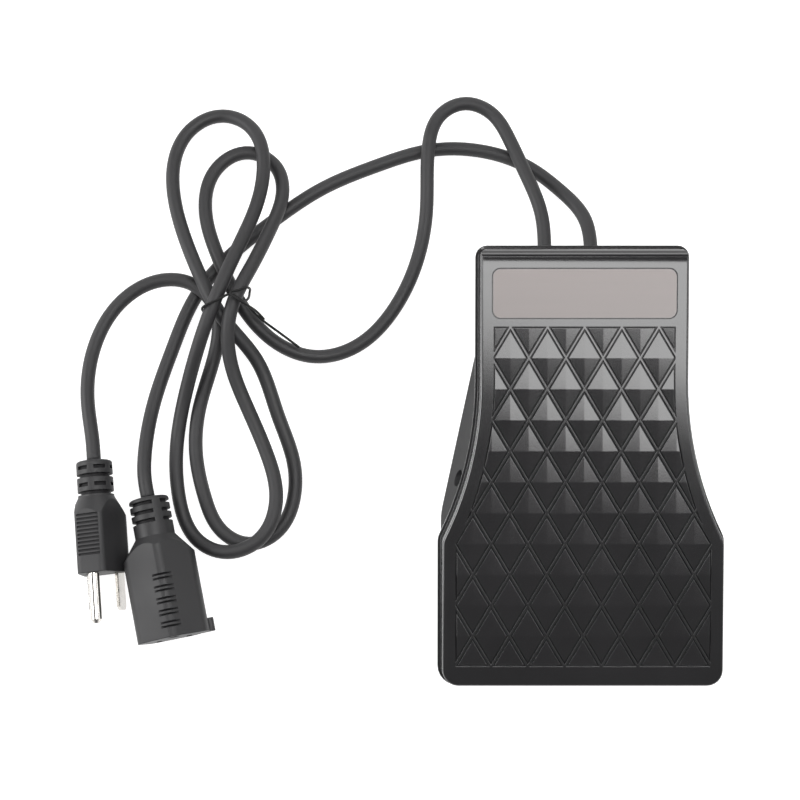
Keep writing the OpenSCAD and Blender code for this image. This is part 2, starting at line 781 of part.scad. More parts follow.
module base_tray() {
    color([0.16, 0.16, 0.17])
    difference() {
        union() {
            difference() {
                tray_block();
                tray_hollow();
            }
            intersection() {
                tray_block();
                both_sides()
                    along_x(boss_in, hinge_y, hinge_z)
                        cylinder(r = boss_r, h = front_half);
            }
            cord_holes(inlet_r, inlet_in_y, inlet_y - inlet_in_y);
        }
        both_sides() {
            along_x(boss_in - 1, hinge_y, hinge_z)
                cylinder(r = pin_d / 2 + slip_gap, h = front_half);
            along_x(recess_floor, hinge_y, hinge_z)
                cylinder(d = recess_d, h = front_half);
        }
        foot_holes();
        cord_holes(sleeve_neck_r + slip_gap, inlet_in_y - 1, inlet_y - inlet_in_y + 2);
    }
}

// Posts that stand on the tray floor, trimmed to the hollow of the tray
module floor_post(place, r, height) {
    translate([place[0], place[1], floor_z - bite])
        cylinder(r = r, h = height + bite);
}
module floor_hole(place, height) {
    translate([place[0], place[1], floor_z - bite])
        cylinder(d = screw_hole_d, h = height + bite + 1);
}
module post_blanks() {
    both_sides() {
        floor_post(front_post, stop_post_r, top_z);
        floor_post(press_post, stop_post_r, press_stop_z - floor_z);
        floor_post(rear_foot, post_r, foot_boss_h);
        floor_post([spring_x, spring_y], spring_d / 2 + spring_gap + spring_cup_wall, spring_cup_h);
        for (y = board_hole_y)
            floor_post([board_hole_x, y], post_r, board_lift);
    }
    for (y = [-1, 1])
        floor_post([bracket_screw[0], pinion_y + y * bracket_screw[1]], post_r, bracket_lift);
    translate([clamp_from, clamp_y - clamp_l / 2, floor_z - bite])
        cube([clamp_w, clamp_l, exit_z - clamp_half_gap - floor_z + bite]);
}
module tray_posts() {
    color([0.17, 0.17, 0.18])
    difference() {
        intersection() {
            post_blanks();
            tray_hollow();
        }
        foot_holes();
        both_sides() {
            translate([spring_x, spring_y, floor_z - bite])
                cylinder(r = spring_d / 2 + spring_gap, h = spring_cup_h + bite + 1);
            for (y = board_hole_y)
                floor_hole([board_hole_x, y], board_lift);
        }
        for (y = [-1, 1])
            floor_hole([bracket_screw[0], pinion_y + y * bracket_screw[1]], bracket_lift);
        for (x = clamp_screw_x)
            floor_hole([x, clamp_y], exit_z - floor_z);
        cord_holes(cord_r + saddle_gap, clamp_y - clamp_l, 2 * clamp_l);
        // The front posts end under the sloping plate
        on_plate()
            translate([-front_w, -plate_len, rest_stop_w])
                cube([2 * front_w, plate_len - spring_back, top_z]);
    }
}

// Rubber feet, screwed on from below
module rubber_foot(x, y) {
    sink_r = screw_head_d / 2 + foot_head_z;
    color([0.06, 0.06, 0.06])
    translate([x, y, 0])
        rotate_extrude()
            polygon([
                [screw_pass_d / 2, tray_z],
                [foot_d / 2, tray_z],
                [foot_d / 2 - foot_draft, foot_edge[1]],
                [foot_d / 2 - foot_edge[0], 0],
                [sink_r, 0],
                [sink_r, foot_sink_z],
                [screw_pass_d / 2, foot_sink_z]
            ]);
}
module foot_front_left() {
    rubber_foot(-front_post[0], front_post[1]);
}
module foot_front_right() {
    rubber_foot(front_post[0], front_post[1]);
}
module foot_rear_left() {
    rubber_foot(-rear_foot[0], rear_foot[1]);
}
module foot_rear_right() {
    rubber_foot(rear_foot[0], rear_foot[1]);
}
module foot_screws() {
    color([0.62, 0.63, 0.65])
    both_sides()
        for (post = [front_post, rear_foot])
            translate([post[0], post[1], foot_sink_z])
                difference() {
                    screw(foot_screw_l, up = true);
                    // The head is thin enough to clear the floor
                    translate([0, 0, -2 * screw_head_h])
                        cylinder(d = 2 * screw_head_d, h = 2 * screw_head_h - foot_sink_z + foot_head_z);
                }
}

// Pedal plate: moulded shell, tread, label recess, and what hangs under it
module plate_shell() {
    fillet_steps = 4;
    difference() {
        loft(concat(
            [
                ring(plate_outline, bead_out, -skirt_h),
                ring(plate_outline, bead_out, -skirt_h + bead_h),
                ring(plate_outline, bead_out - bead_w, -skirt_h + bead_h + 0.3)
            ],
            [
                for (i = [0:fillet_steps])
                    let (a = 90 * i / fillet_steps)
                    ring(plate_outline, -edge_r * (1 - cos(a)), -edge_r * (1 - sin(a)))
            ]
        ));
        loft([
            ring(plate_outline, skirt_draft - skirt_t, -skirt_h - 1),
            ring(plate_outline, -skirt_t, -top_t)
        ]);
        // Rolled rear edge
        difference() {
            translate([-front_w, plate_len / 2 - rear_edge_r, -rear_edge_r])
                cube([2 * front_w, 2 * rear_edge_r, 2 * rear_edge_r]);
            along_x(-front_w - 1, plate_len / 2 - rear_edge_r, -rear_edge_r)
                cylinder(r = rear_edge_r, h = 2 * front_w + 2);
        }
    }
}
module tread_field(grow = 0) {
    intersection() {
        polygon(flat_ring(plate_outline, grow - tread_border));
        translate([-front_half, -plate_len / 2 + tread_front - grow])
            square([front_w, plate_len - tread_front - tread_rear + 2 * grow]);
    }
}
module diamond(inset, low) {
    slant = norm([cell_w, cell_l]);
    x = cell_w / 2 - inset * slant / cell_l;
    y = cell_l / 2 - inset * slant / cell_w;
    corners = [[x, 0], [0, y], [-x, 0], [0, -y]];
    polyhedron(
        concat(
            [for (p = corners) [p[0], p[1], low]],
            [for (p = corners) [p[0], p[1], -cell_drop]],
            [[0, 0, cell_rise - cell_drop]]
        ),
        concat(
            [[0, 1, 2, 3]],
            [for (i = [0:3]) [i, i + 4, (i + 1) % 4 + 4, (i + 1) % 4]],
            [for (i = [0:3]) [i + 4, 8, (i + 1) % 4 + 4]]
        )
    );
}
module tread_ribs() {
    slant = atan2(cell_l, cell_w);
    reach = plate_len + front_w;
    count = ceil(reach / cell_w);
    for (lean = [-1, 1], k = [-count:count])
        translate([k * cell_w, tread_top])
            rotate([0, 0, lean * slant])
                square([2 * reach, rib_w], center = true);
}
module tread_pockets() {
    translate([0, 0, -groove_t])
        linear_extrude(2 * groove_t)
            difference() {
                tread_field();
                tread_ribs();
            }
}
module tread_diamonds() {
    intersection() {
        translate([0, 0, -groove_t - bite])
            linear_extrude(groove_t + cell_rise + bite)
                tread_field(-groove_w);
        for (place = cell_places)
            translate([place[0], place[1], 0])
                diamond(rib_w / 2 + groove_w, -groove_t - bite);
    }
}
module plate_fittings() {
    // Hinge ears
    both_sides()
        along_x(ear_out - ear_t, hinge_y, hinge_z) {
            cylinder(r = ear_r, h = ear_t);
            translate([-ear_r, 0, 0])
                cube([2 * ear_r, under_d / cos(tilt) - ear_r * tan(tilt) + bite, ear_t]);
        }
    // Spring pads with a stud inside each spring
    both_sides() {
        translate([spring_x, spring_y, spring_pad_z])
            cylinder(r = spring_pad_r, h = under_rest(spring_y) - spring_pad_z + bite);
        translate([spring_x, spring_y, spring_pad_z - spring_stud_l])
            cylinder(r = spring_d / 2 - spring_wire - spring_stud_gap, h = spring_stud_l + bite);
    }
    // Bosses for the sector
    on_plate()
        for (x = [-1, 1])
            translate([x * sector_screw_x, sector_pad_v, -top_t - sector_boss_h])
                cylinder(r = sector_boss_r, h = sector_boss_h + bite);
    // Stiffening ribs across the front half
    on_plate()
        for (v = stiffener_v)
            translate([-stiffener_w / 2, v, -top_t - stiffener_h])
                cube([stiffener_w, stiffener_t, stiffener_h + bite]);
}
module pedal_plate() {
    color([0.09, 0.09, 0.10])
    difference() {
        union() {
            on_plate() {
                difference() {
                    plate_shell();
                    tread_pockets();
                    translate([0, plate_len / 2 - label_rear, -label_t - label_sunk])
                        linear_extrude(2 * label_t)
                            rounded_rectangle(
                                label_w + 2 * label_gap,
                                label_l + 2 * label_gap,
                                label_r + label_gap
                            );
                }
                tread_diamonds();
            }
            plate_fittings();
        }
        along_x(-front_w, hinge_y, hinge_z)
            cylinder(r = pin_d / 2 + run_gap, h = 2 * front_w);
        on_plate()
            for (x = [-1, 1])
                translate([x * sector_screw_x, sector_pad_v, -top_t - sector_boss_h - 1])
                    cylinder(d = screw_hole_d, h = 1 + sector_screw_l);
    }
}
module label_plate() {
    color([0.66, 0.63, 0.62])
    on_plate()
        translate([0, plate_len / 2 - label_rear, -label_t - label_sunk])
            linear_extrude(label_t)
                rounded_rectangle(label_w, label_l, label_r);
}

// Hinge pin with a groove at each end for a retaining ring
module hinge_pin() {
    color([0.75, 0.76, 0.78])
    difference() {
        along_x(-pin_end, hinge_y, hinge_z)
            cylinder(d = pin_d, h = 2 * pin_end);
        both_sides()
            along_x(recess_floor + slip_gap, hinge_y, hinge_z)
                difference() {
                    cylinder(d = 2 * pin_d, h = clip_t + slip_gap);
                    translate([0, 0, -1])
                        cylinder(d = pin_d - 2 * clip_groove, h = clip_t + 3);
                }
    }
}
module hinge_clips() {
    color([0.35, 0.35, 0.37])
    both_sides()
        along_x(recess_floor + slip_gap, hinge_y, hinge_z)
            difference() {
                cylinder(r = clip_r, h = clip_t);
                translate([0, 0, -1])
                    cylinder(d = pin_d - 2 * clip_groove + 2 * slip_gap, h = clip_t + 2);
                translate([-clip_slot_w / 2, 0, -1])
                    cube([clip_slot_w, recess_d, clip_t + 2]);
            }
}

// Return spring: closed end coils, even pitch between them
function coil_rise(u, free) =
    let (low = min(u, 1), high = max(u - spring_turns + 1, 0), middle = u - low - high)
    (low + high) * spring_wire * 1.05 + middle * (free - 2.1 * spring_wire) / (spring_turns - 2);
module return_spring(side) {
    steps = 14;
    wire_r = spring_wire / 2;
    mean_r = spring_d / 2 - wire_r;
    bottom = floor_z + wire_r + 0.1;
    free = spring_pad_z - 0.1 - wire_r - bottom;
    color([0.7, 0.71, 0.73])
    translate([side * spring_x, spring_y, bottom])
        tube(
            [
                for (i = [0:spring_turns * steps])
                    [mean_r * cos(360 * i / steps), mean_r * sin(360 * i / steps), coil_rise(i / steps, free)]
            ],
            wire_r, 6, [0, 0, 1]
        );
}
module return_spring_left() {
    return_spring(-1);
}
module return_spring_right() {
    return_spring(1);
}

// Rubber stops: the front pair carries the plate at rest, the rear pair ends its travel
module rest_stop(side) {
    color([0.12, 0.10, 0.09])
    intersection() {
        translate([side * front_post[0], front_post[1], 0])
            cylinder(d = stop_d, h = top_z);
        on_plate()
            translate([-front_w, -plate_len, rest_stop_w])
                cube([2 * front_w, plate_len, stop_t]);
    }
}
module rest_stop_left() {
    rest_stop(-1);
}
module rest_stop_right() {
    rest_stop(1);
}
module press_stop(side) {
    color([0.12, 0.10, 0.09])
    translate([side * press_post[0], press_post[1], press_stop_z])
        cylinder(d = stop_d, h = stop_t);
}
module press_stop_left() {
    press_stop(-1);
}
module press_stop_right() {
    press_stop(1);
}

// Toothed sector: a curved arm under the plate, centred on the hinge
module drive_sector() {
    pitch = 360 / sector_teeth;
    first = -2;
    last = ceil(press_angle / pitch) + 1;
    root = sector_r - pinion_add - tip_gap;
    inner = sector_r - sector_band;
    low = mesh_angle + (first + 0.1) * pitch;
    pad_turn = tilt + asin((hinge_drop * cos(tilt) + sector_pad_w) / (sector_r - sector_band / 2));
    high = pad_turn + sector_run;
    teeth = [for (k = [first:last]) each tooth_points(sector_teeth, root, sector_r + sector_add,
        mesh_angle + (k + 0.5) * pitch)];
    color([0.85, 0.84, 0.80])
    difference() {
        union() {
            intersection() {
                along_x(-gear_w / 2, hinge_y, hinge_z)
                    linear_extrude(gear_w)
                        polygon(concat(
                            [[root * cos(low), root * sin(low)]],
                            teeth,
                            [for (i = [0:6])
                                let (a = mesh_angle + (last + 1) * pitch
                                    + (high - mesh_angle - (last + 1) * pitch) * i / 6)
                                [root * cos(a), root * sin(a)]],
                            [for (i = [0:12])
                                let (a = high + (low - high) * i / 12)
                                [inner * cos(a), inner * sin(a)]]
                        ));
                on_plate()
                    translate([-front_w, -plate_len, -2 * hinge_drop])
                        cube([2 * front_w, 2 * plate_len, 2 * hinge_drop + sector_pad_w + bite]);
            }
            on_plate()
                translate([-sector_pad_half, sector_pad_v - sector_pad_l / 2, sector_pad_w])
                    cube([2 * sector_pad_half, sector_pad_l, sector_pad_t]);
        }
        on_plate()
            for (x = [-1, 1])
                translate([x * sector_screw_x, sector_pad_v, sector_pad_w - 1])
                    cylinder(d = screw_pass_d, h = sector_pad_t + 2);
    }
}
module sector_screws() {
    color([0.62, 0.63, 0.65])
    on_plate()
        for (x = [-1, 1])
            translate([x * sector_screw_x, sector_pad_v, sector_pad_w])
                screw(sector_pad_t + sector_screw_l, up = true);
}

// Pinion and potentiometer shaft turn together
module pinion() {
    root = pinion_r - sector_add - tip_gap;
    color([0.85, 0.84, 0.80])
    along_x(-gear_w / 2, pinion_y, pinion_z)
        difference() {
            linear_extrude(gear_w)
                polygon([for (k = [0:pinion_teeth - 1]) each tooth_points(pinion_teeth, root,
                    pinion_r + pinion_add, mesh_angle + 180 + k * 360 / pinion_teeth)]);
            translate([0, 0, -1])
                cylinder(d = pot_shaft_d + 2 * slip_gap, h = gear_w + 2);
        }
}
module pot_shaft() {
    length = pot_shaft_nose + gear_w / 2 + bracket_x + bracket_t + pot_shaft_tail - 1;
    color([0.75, 0.76, 0.78])
    along_x(-gear_w / 2 - pot_shaft_nose, pinion_y, pinion_z)
        difference() {
            cylinder(d = pot_shaft_d, h = length);
            translate([-pot_slot[0] / 2, -pot_shaft_d, -1])
                cube([pot_slot[0], 2 * pot_shaft_d, pot_slot[1] + 1]);
        }
}
module pot_body() {
    neck_l = bracket_x - gear_w / 2 - neck_gap;
    color([0.32, 0.34, 0.36])
    along_x(bracket_x + bracket_t, pinion_y, pinion_z)
        difference() {
            union() {
                cylinder(d = pot_d, h = pot_l);
                translate([0, 0, -bracket_t - neck_l])
                    cylinder(r = neck_r, h = bracket_t + neck_l + bite);
                for (k = [-1, 0, 1])
                    translate([
                        k * pot_terminal_pitch - pot_terminal[0] / 2,
                        -pot_d / 2 - pot_terminal[1] / 2,
                        pot_l / 2
                    ])
                        cube(pot_terminal);
            }
            translate([0, 0, -bracket_t - neck_l - 1])
                cylinder(
                    d = pot_shaft_d + 2 * run_gap,
                    h = 1 + neck_l + bracket_t + pot_shaft_tail - free_gap
                );
        }
}
module pot_nut() {
    color([0.72, 0.72, 0.70])
    along_x(bracket_x - nut_t, pinion_y, pinion_z)
        difference() {
            cylinder(r = neck_r + nut_wall, h = nut_t, $fn = 6);
            translate([0, 0, -1])
                cylinder(r = neck_r + slip_gap, h = nut_t + 2);
        }
}
module pot_bracket() {
    color([0.70, 0.70, 0.69])
    difference() {
        union() {
            translate([bracket_x, pinion_y - bracket_half, bracket_foot_z])
                cube([bracket_t, 2 * bracket_half, pinion_z + pot_d / 2 - bracket_foot_z]);
            translate([bracket_x, pinion_y - bracket_half, bracket_foot_z])
                cube([bracket_foot_l, 2 * bracket_half, bracket_t]);
        }
        along_x(bracket_x - 1, pinion_y, pinion_z)
            cylinder(r = neck_r + slip_gap, h = bracket_t + 2);
        for (y = [-1, 1])
            translate([bracket_screw[0], pinion_y + y * bracket_screw[1], bracket_foot_z - 1])
                cylinder(d = screw_pass_d, h = bracket_t + 2);
        // Window under the body for its terminals
        translate([bracket_x + bracket_t + pot_l / 2 - bracket_window[0] / 2, pinion_y, bracket_foot_z])
            translate([0, -bracket_window[1] / 2, -1])
                cube([bracket_window[0], bracket_window[1], bracket_t + 2]);
    }
}
module bracket_screws() {
    color([0.62, 0.63, 0.65])
    for (y = [-1, 1])
        translate([bracket_screw[0], pinion_y + y * bracket_screw[1], bracket_foot_z + bracket_t])
            screw(bracket_t + bracket_lift);
}

// Circuit board and the parts on it
module circuit_board() {
    color([0.10, 0.32, 0.20])
    difference() {
        translate([0, board_y, board_z])
            linear_extrude(board_t)
                rounded_rectangle(board_w, board_l, board_r);
        both_sides() {
            for (y = board_hole_y)
                translate([board_hole_x, y, board_z - 1])
                    cylinder(d = screw_pass_d, h = board_t + 2);
            // Room for the post of the rest stop
            translate([front_post[0], front_post[1], board_z - 1])
                cylinder(r = stop_post_r + free_gap, h = board_t + 2);
        }
    }
}
module board_screws() {
    color([0.62, 0.63, 0.65])
    both_sides()
        for (y = board_hole_y)
            translate([board_hole_x, y, parts_z])
                screw(board_t + board_lift);
}
module heat_sink() {
    fin_pitch = (sink_w - sink_fin_t) / (sink_fins - 1);
    color([0.55, 0.56, 0.58])
    translate([sink_at[0] - sink_w / 2, sink_at[1] - sink_l / 2, parts_z]) {
        translate([0, sink_l - sink_back_t, 0])
            cube([sink_w, sink_back_t, sink_h]);
        for (i = [0:sink_fins - 1])
            translate([i * fin_pitch, 0, 0])
                cube([sink_fin_t, sink_l, sink_h]);
    }
}
module triac() {
    color([0.10, 0.10, 0.11])
    translate([sink_at[0] - triac_w / 2, sink_at[1] + sink_l / 2, parts_z]) {
        difference() {
            translate([0, 0, triac_lift]) {
                cube([triac_w, triac_tab_t, triac_tab_h]);
                cube([triac_w, triac_t, triac_h]);
            }
            along_y(triac_w / 2, -1, triac_lift + triac_tab_h - triac_hole_in)
                cylinder(d = triac_hole_d, h = triac_t);
        }
        for (i = [-1, 0, 1])
            translate([triac_w / 2 + triac_lead_pitch * i - triac_lead[0] / 2, triac_lead_y, 0])
                cube([triac_lead[0], triac_lead[1], triac_lift + bite]);
    }
}
module capacitor() {
    color([0.62, 0.16, 0.12])
    translate([capacitor_at[0], capacitor_at[1], parts_z])
        linear_extrude(capacitor_size[2])
            rounded_rectangle(capacitor_size[0], capacitor_size[1], capacitor_r);
}
module choke() {
    color([0.60, 0.34, 0.14])
    translate([choke_at[0], choke_at[1], parts_z + choke_wire_r])
        rotate_extrude()
            translate([choke_r, 0])
                circle(choke_wire_r);
}
module fuse() {
    color([0.80, 0.82, 0.82])
    along_x(fuse_at[0] - fuse_l / 2, fuse_at[1], parts_z + fuse_r + fuse_lift) {
        cylinder(r = fuse_r - fuse_cap_t, h = fuse_l);
        for (z = [0, fuse_l - fuse_cap_l])
            translate([0, 0, z])
                cylinder(r = fuse_r, h = fuse_cap_l);
    }
}
module fuse_clips() {
    half = fuse_r + fuse_clip_t;
    color([0.78, 0.66, 0.38])
    for (side = [-1, 1])
        translate([fuse_at[0] + side * (fuse_l - fuse_cap_l) / 2, fuse_at[1], parts_z])
            difference() {
                translate([-fuse_clip_l / 2, -half, 0])
                    cube([fuse_clip_l, 2 * half, fuse_lift + fuse_r + fuse_clip_t]);
                along_x(-fuse_clip_l, 0, fuse_r + fuse_lift)
                    cylinder(r = fuse_r + run_gap, h = 2 * fuse_clip_l);
                translate([-fuse_clip_l, -fuse_r + fuse_clip_lip, fuse_r + fuse_lift])
                    cube([2 * fuse_clip_l, 2 * (fuse_r - fuse_clip_lip), fuse_r]);
            }
}
module terminal_block() {
    color([0.12, 0.40, 0.26])
    translate([block_at[0] - block_ways * block_way / 2, block_at[1] - block_l / 2, parts_z])
        difference() {
            cube([block_ways * block_way, block_l, block_h]);
            for (i = [0:block_ways - 1]) {
                translate([(i + 0.5) * block_way, block_l / 2, block_h - block_screw[1]])
                    cylinder(d = block_screw[0], h = block_screw[1] + 1);
                translate([(i + 0.5) * block_way - block_mouth[0] / 2, block_l - block_mouth[1], 1])
                    cube([block_mouth[0], block_mouth[1] + 1, block_mouth[2]]);
            }
        }
}

// Sleeves of the leads, seated in the bosses of the rear wall, with rings that taper along the lead
module cord_sleeve(x) {
    wall_l = inlet_y - inlet_in_y + slip_gap;
    bore = cord_r + saddle_gap;
    ring_pitch = (sleeve_l - sleeve_flange_t) / sleeve_rings;
    color([0.10, 0.10, 0.11])
    along_y(x, inlet_y, exit_z)
        rotate_extrude()
            polygon(concat(
                [
                    [bore, -wall_l - sleeve_flange_t],
                    [sleeve_bead_r, -wall_l - sleeve_flange_t],
                    [sleeve_bead_r, -wall_l],
                    [sleeve_neck_r, -wall_l],
                    [sleeve_neck_r, 0],
                    [sleeve_flange_r, 0],
                    [sleeve_flange_r, sleeve_flange_t]
                ],
                [
                    for (i = [0:sleeve_rings - 1])
                        let (r = sleeve_neck_r + sleeve_ring[0] - sleeve_taper * i / sleeve_rings)
                        let (z = sleeve_flange_t + i * ring_pitch)
                        each [
                            [r, z],
                            [r, z + ring_pitch * sleeve_ring[2]],
                            [r - sleeve_ring[1], z + ring_pitch * sleeve_ring[2]],
                            [r - sleeve_ring[1], z + ring_pitch]
                        ]
                ],
                [[bore, sleeve_l]]
            ));
}
module plug_sleeve() {
    cord_sleeve(plug_exit_x);
}
module socket_sleeve() {
    cord_sleeve(socket_exit_x);
}
module cord_clamp() {
    color([0.20, 0.20, 0.21])
    difference() {
        translate([clamp_from, clamp_y - clamp_l / 2, clamp_bottom])
            cube([clamp_w, clamp_l, clamp_t]);
        cord_holes(cord_r + saddle_gap, clamp_y - clamp_l, 2 * clamp_l);
        for (x = clamp_screw_x)
            translate([x, clamp_y, clamp_bottom - 1])
                cylinder(d = screw_pass_d, h = clamp_t + 2);
    }
}
module clamp_screws() {
    color([0.62, 0.63, 0.65])
    for (x = clamp_screw_x)
        translate([x, clamp_y, clamp_bottom + clamp_t])
            screw(clamp_t + clamp_bottom - floor_z);
}

// Leads
function laid(route) = [for (p = route) [p[0], p[1], layer_floor + layer_pitch * p[2]]];
function lead_start(x) = [
    [x, cord_in_y, exit_z],
    [x, inlet_y + sleeve_l, exit_z]
];
function lead_end(at, z, turn) = [
    [at[0] - lead_straight * sin(turn), at[1] + lead_straight * cos(turn), z],
    [at[0], at[1], z]
];
module plug_cord() {
    color([0.15, 0.15, 0.16])
    tube(
        concat(lead_start(plug_exit_x), laid(plug_route), lead_end(plug_at, plug_z, plug_turn)),
        cord_r, cord_sides, [0, 0, 1]
    );
}
module socket_cord() {
    color([0.15, 0.15, 0.16])
    tube(
        concat(lead_start(socket_exit_x), laid(socket_route), lead_end(socket_at, socket_z, socket_turn)),
        cord_r, cord_sides, [0, 0, 1]
    );
}
module cord_tie() {
    color([0.07, 0.07, 0.07])
    tube(tie_route, tie_d / 2, 8, [-0.42, 0.91, 0]);
}

// Moulded neck from the cord end along the axis, with a round edge, and the rings that are cut into it
module neck_blank(r, length) {
    rotate_extrude() {
        square([r - neck_round, length + neck_core_l]);
        translate([0, neck_round])
            square([r, length + neck_core_l - neck_round]);
        translate([r - neck_round, neck_round])
            circle(neck_round);
    }
}
module neck_groove(r, z) {
    translate([0, 0, z - neck_groove_w / 2])
        difference() {
            cylinder(r = 2 * r, h = neck_groove_w);
            translate([0, 0, -1])
                cylinder(r = r - neck_groove_t, h = neck_groove_w + 2);
        }
}

// Plug: moulded body round two blades and a ground pin. A cone trims the section where it meets the neck.
module plug_section() {
    hull()
        for (side = [-1, 1]) {
            translate([side * plug_low[0], plug_low[1]])
                circle(plug_low_r, $fn = 32);
            translate([side * plug_high[0], plug_high[1]])
                circle(plug_high_r, $fn = 32);
        }
}
module flare(neck_l, neck_r, length, r, face) {
    translate([0, 0, neck_l])
        cylinder(r1 = neck_r - bite, r2 = r, h = length);
    translate([0, 0, neck_l + length])
        cylinder(r = r, h = face - neck_l - length);
}
module plug_body() {
    ring = plug_neck_l / 4;
    color([0.22, 0.22, 0.23])
    on_plug()
        difference() {
            union() {
                neck_blank(plug_neck_r, plug_neck_l);
                intersection() {
                    linear_extrude(plug_face)
                        plug_section();
                    flare(plug_neck_l, plug_neck_r, plug_flare_l, plug_flare_r, plug_face);
                }
            }
            // Two rings round the neck, and short slots between them
            for (i = [1, 3])
                neck_groove(plug_neck_r, (i + neck_ring_at) * ring);
            for (i = [0, 2], k = [1:neck_slots])
                rotate([0, 0, neck_slot_turn + 360 * k / neck_slots])
                    translate([plug_neck_r - neck_groove_t, -neck_slot_w / 2, (i + neck_slot_at) * ring])
                        cube([2 * neck_groove_t, neck_slot_w, neck_groove_w]);
            // Grip ridges on the panel over the ground pin
            for (i = [0:plug_ridges - 1])
                translate([
                    -plug_ridge[0] / 2,
                    plug_high[1] + plug_high_r - plug_ridge[1],
                    plug_neck_l + plug_ridge_from + plug_ridge_pitch * i
                ])
                    cube([plug_ridge[0], 2 * plug_ridge[1], plug_ridge[2]]);
            translate([0, plug_ground_y, plug_face - pin_depth])
                cylinder(r = pin_root_r + slip_gap, h = pin_depth + 1);
            for (side = [-1, 1])
                translate([
                    side * blade_pitch / 2 - blade_t / 2 - slip_gap,
                    blade_y - blade_w / 2 - slip_gap,
                    plug_face - pin_depth
                ])
                    cube([blade_t + 2 * slip_gap, blade_w + 2 * slip_gap, pin_depth + 1]);
        }
}
module plug_ground_pin() {
    r = ground_d / 2;
    color([0.80, 0.80, 0.78])
    on_plug()
        translate([0, plug_ground_y, plug_face - pin_depth])
            rotate_extrude()
                polygon([
                    [0, 0],
                    [pin_root_r, 0],
                    [pin_root_r, pin_depth + pin_root_l],
                    [r, pin_depth + pin_root_l],
                    [r, pin_depth + ground_l - pin_tip[1]],
                    [r - pin_tip[0], pin_depth + ground_l],
                    [0, pin_depth + ground_l]
                ]);
}
module plug_blade(side) {
    length = pin_depth + blade_l;
    half = blade_w / 2;
    color([0.80, 0.80, 0.78])
    on_plug()
        translate([side * blade_pitch / 2 + blade_t / 2, blade_y, plug_face - pin_depth])
            rotate([0, -90, 0])
                linear_extrude(blade_t)
                    polygon([
                        [0, -half],
                        [length - blade_tip, -half],
                        [length, -half + blade_tip],
                        [length, half - blade_tip],
                        [length - blade_tip, half],
                        [0, half]
                    ]);
}
module plug_blade_left() {
    plug_blade(-1);
}
module plug_blade_right() {
    plug_blade(1);
}

// Socket: moulded body with three openings in its face
module socket_section() {
    hull() {
        translate([0, socket_ridge])
            circle(socket_ridge_r, $fn = 32);
        for (side = [-1, 1], corner = [socket_low, socket_side])
            translate([side * corner[0], corner[1]])
                circle(socket_corner_r, $fn = 32);
    }
}
module socket_body() {
    color([0.23, 0.23, 0.24])
    on_socket()
        difference() {
            union() {
                neck_blank(socket_neck_r, socket_neck_l);
                intersection() {
                    linear_extrude(socket_face)
                        socket_section();
                    flare(socket_neck_l, socket_neck_r, socket_flare_l, socket_flare_r, socket_face);
                }
                // Lug beside the face
                translate([socket_side[0], socket_lug_y, socket_face - socket_lug[2]])
                    linear_extrude(socket_lug[2])
                        rounded_rectangle(socket_lug[0], socket_lug[1], socket_lug_r);
            }
            // Rings round the neck, each with two bridges
            difference() {
                for (i = [0:socket_rings - 1])
                    neck_groove(socket_neck_r, socket_ring_from + socket_ring_pitch * i);
                rotate([0, 0, socket_bridge_turn])
                    translate([-socket_bridge_w / 2, -2 * socket_neck_r, 0])
                        cube([socket_bridge_w, 4 * socket_neck_r, socket_neck_l]);
            }
            // Pairs of grip slots across the ridge
            for (i = [0:socket_slots - 1], step = [0, socket_slot_step])
                translate([
                    -socket_slot[0] / 2,
                    socket_ridge + socket_ridge_r - socket_slot[1] - socket_slot_low,
                    socket_neck_l + socket_slot_from + socket_slot_pitch * i + step
                ])
                    cube([socket_slot[0], 2 * socket_slot[1] + socket_slot_low, socket_slot[2]]);
            for (side = [-1, 1])
                translate([
                    side * blade_pitch / 2 - blade_t / 2 - socket_mouth[0],
                    socket_blade_y - blade_w / 2 - socket_mouth[1],
                    socket_face - socket_mouth[2]
                ])
                    cube([blade_t + 2 * socket_mouth[0], blade_w + 2 * socket_mouth[1], socket_mouth[2] + 1]);
            translate([0, socket_ground_y, socket_face - socket_face_t - 1])
                cylinder(r = socket_bore_r, h = socket_face_t + 2);
            translate([0, socket_ground_y, socket_face - socket_hole_l])
                cylinder(r = socket_bore_r + contact_t + slip_gap, h = socket_hole_l - socket_face_t);
        }
}
module socket_contacts() {
    reach = blade_pitch / 2 + blade_t / 2 + socket_mouth[0] - slip_gap - contact_t / 2;
    color([0.80, 0.66, 0.36])
    on_socket() {
        for (side = [-1, 1])
            translate([
                side * reach - contact_t / 2,
                socket_blade_y - blade_w / 2,
                socket_face - socket_mouth[2] + slip_gap
            ])
                cube([contact_t, blade_w, contact_l]);
        translate([0, socket_ground_y, socket_face - socket_hole_l + slip_gap])
            difference() {
                cylinder(r = socket_bore_r + contact_t, h = contact_l);
                translate([0, 0, -1])
                    cylinder(r = socket_bore_r + run_gap, h = contact_l + 2);
            }
    }
}

base_tray();
tray_posts();
foot_front_left();
foot_front_right();
foot_rear_left();
foot_rear_right();
foot_screws();
pedal_plate();
label_plate();
hinge_pin();
hinge_clips();
return_spring_left();
return_spring_right();
rest_stop_left();
rest_stop_right();
press_stop_left();
press_stop_right();
drive_sector();
sector_screws();
pinion();
pot_shaft();
pot_body();
pot_nut();
pot_bracket();
bracket_screws();
circuit_board();
board_screws();
triac();
heat_sink();
capacitor();
choke();
fuse();
fuse_clips();
terminal_block();
plug_sleeve();
socket_sleeve();
cord_clamp();
clamp_screws();
plug_cord();
socket_cord();
cord_tie();
plug_body();
plug_ground_pin();
plug_blade_left();
plug_blade_right();
socket_body();
socket_contacts();
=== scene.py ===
import math

